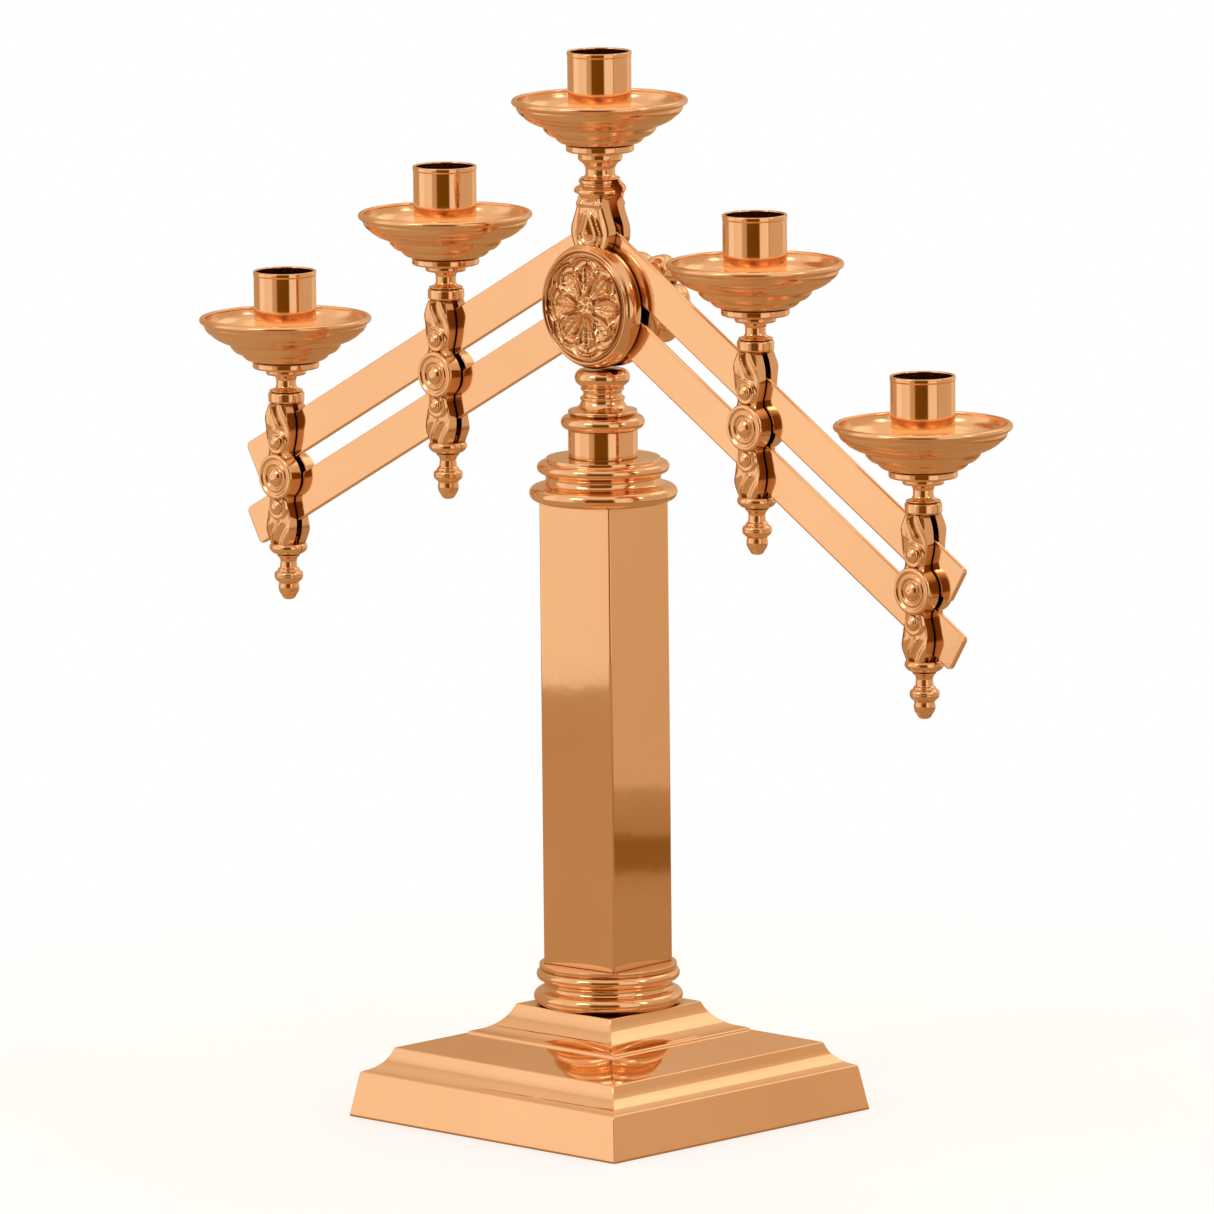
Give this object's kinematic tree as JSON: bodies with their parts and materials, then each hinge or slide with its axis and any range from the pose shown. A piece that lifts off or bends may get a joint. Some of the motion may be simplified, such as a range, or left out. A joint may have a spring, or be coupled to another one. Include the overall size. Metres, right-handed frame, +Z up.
{
  "type": "five-light adjustable altar candelabra",
  "caption": "Brass altar candelabra: square stepped base, square column, medallion hub, and parallel-bar arms that tilt while their candle cups and drip pans stay upright.",
  "frame": {"origin": "on the table under the middle of the base, on the column's axis", "axes": "+Z up along the column, +X along the right arm's plane, -Y the side that the medallion faces"},
  "size_m": [0.4382, 0.1524, 0.4421],
  "materials": {
    "polished_brass": "mirror polished, warm copper-toned brass, clear lacquered",
    "cast_brass": "cast relief, polished on the high parts and darker in the recesses",
    "steel": "zinc-plated threaded steel, hidden"
  },
  "bodies": {
    "stand": {"base": "polished_brass", "lower_collar": "polished_brass", "column": "polished_brass", "upper_collar": "polished_brass", "neck_sleeve": "polished_brass", "hub_foot": "polished_brass", "tie_rod": "steel", "base_washer": "steel", "base_nut": "steel", "hub_front": "cast_brass", "hub_rear": "cast_brass", "hub_upper_pin": "cast_brass", "clamp_stud": "steel", "clamp_washer": "polished_brass", "center_stem": "polished_brass", "center_pan": "polished_brass", "center_cup": "polished_brass"},
    "clamp_knob": {"clamp_knob": "cast_brass"},
    "left_arm": {"left_upper_bar": "polished_brass"},
    "left_link": {"left_lower_bar": "polished_brass"},
    "left_inner_light": {"left_inner_front_casting": "cast_brass", "left_inner_rear_casting": "cast_brass", "left_inner_upper_pin": "cast_brass", "left_inner_lower_pin": "cast_brass", "left_inner_stem": "polished_brass", "left_inner_finial": "cast_brass", "left_inner_pan": "polished_brass", "left_inner_cup": "polished_brass"},
    "left_outer_light": {"left_outer_front_casting": "cast_brass", "left_outer_rear_casting": "cast_brass", "left_outer_upper_pin": "cast_brass", "left_outer_lower_pin": "cast_brass", "left_outer_stem": "polished_brass", "left_outer_finial": "cast_brass", "left_outer_pan": "polished_brass", "left_outer_cup": "polished_brass"},
    "right_arm": {"right_upper_bar": "polished_brass"},
    "right_link": {"right_lower_bar": "polished_brass"},
    "right_inner_light": {"right_inner_front_casting": "cast_brass", "right_inner_rear_casting": "cast_brass", "right_inner_upper_pin": "cast_brass", "right_inner_lower_pin": "cast_brass", "right_inner_stem": "polished_brass", "right_inner_finial": "cast_brass", "right_inner_pan": "polished_brass", "right_inner_cup": "polished_brass"},
    "right_outer_light": {"right_outer_front_casting": "cast_brass", "right_outer_rear_casting": "cast_brass", "right_outer_upper_pin": "cast_brass", "right_outer_lower_pin": "cast_brass", "right_outer_stem": "polished_brass", "right_outer_finial": "cast_brass", "right_outer_pan": "polished_brass", "right_outer_cup": "polished_brass"}
  },
  "joints": [
    {"name": "left_tilt", "type": "hinge", "parent": "stand", "child": "left_arm", "pos_m": [0, 0.0011, 0.365], "axis": [0, 1, 0], "range_deg": [-5.3, 62.7]},
    {"name": "left_link_tilt", "type": "hinge", "parent": "stand", "child": "left_link", "pos_m": [0, 0.0011, 0.3375], "axis": [0, 1, 0], "range_deg": [-5.3, 62.7]},
    {"name": "left_inner_level", "type": "hinge", "parent": "left_arm", "child": "left_inner_light", "pos_m": [-0.09079, 0.0011, 0.3153], "axis": [0, 1, 0], "range_deg": [-62.7, 5.3]},
    {"name": "left_outer_level", "type": "hinge", "parent": "left_arm", "child": "left_outer_light", "pos_m": [-0.18596, 0.0011, 0.26319], "axis": [0, 1, 0], "range_deg": [-62.7, 5.3]},
    {"name": "right_tilt", "type": "hinge", "parent": "stand", "child": "right_arm", "pos_m": [0, -0.0011, 0.365], "axis": [0, -1, 0], "range_deg": [-2, 66]},
    {"name": "right_link_tilt", "type": "hinge", "parent": "stand", "child": "right_link", "pos_m": [0, -0.0011, 0.3375], "axis": [0, -1, 0], "range_deg": [-2, 66]},
    {"name": "right_inner_level", "type": "hinge", "parent": "right_arm", "child": "right_inner_light", "pos_m": [0.08777, -0.0011, 0.31015], "axis": [0, -1, 0], "range_deg": [-66, 2]},
    {"name": "right_outer_level", "type": "hinge", "parent": "right_arm", "child": "right_outer_light", "pos_m": [0.17979, -0.0011, 0.25266], "axis": [0, -1, 0], "range_deg": [-66, 2]},
    {"name": "clamp_turn", "type": "hinge", "parent": "stand", "child": "clamp_knob", "pos_m": [0, 0.0285, 0.3375], "axis": [0, 1, 0], "continuous": true}
  ],
  "couplings": [
    {"joint": "left_link_tilt", "follows": "left_tilt", "ratio": 1},
    {"joint": "left_inner_level", "follows": "left_tilt", "ratio": -1},
    {"joint": "left_outer_level", "follows": "left_tilt", "ratio": -1},
    {"joint": "right_link_tilt", "follows": "right_tilt", "ratio": 1},
    {"joint": "right_inner_level", "follows": "right_tilt", "ratio": -1},
    {"joint": "right_outer_level", "follows": "right_tilt", "ratio": -1}
  ]
}
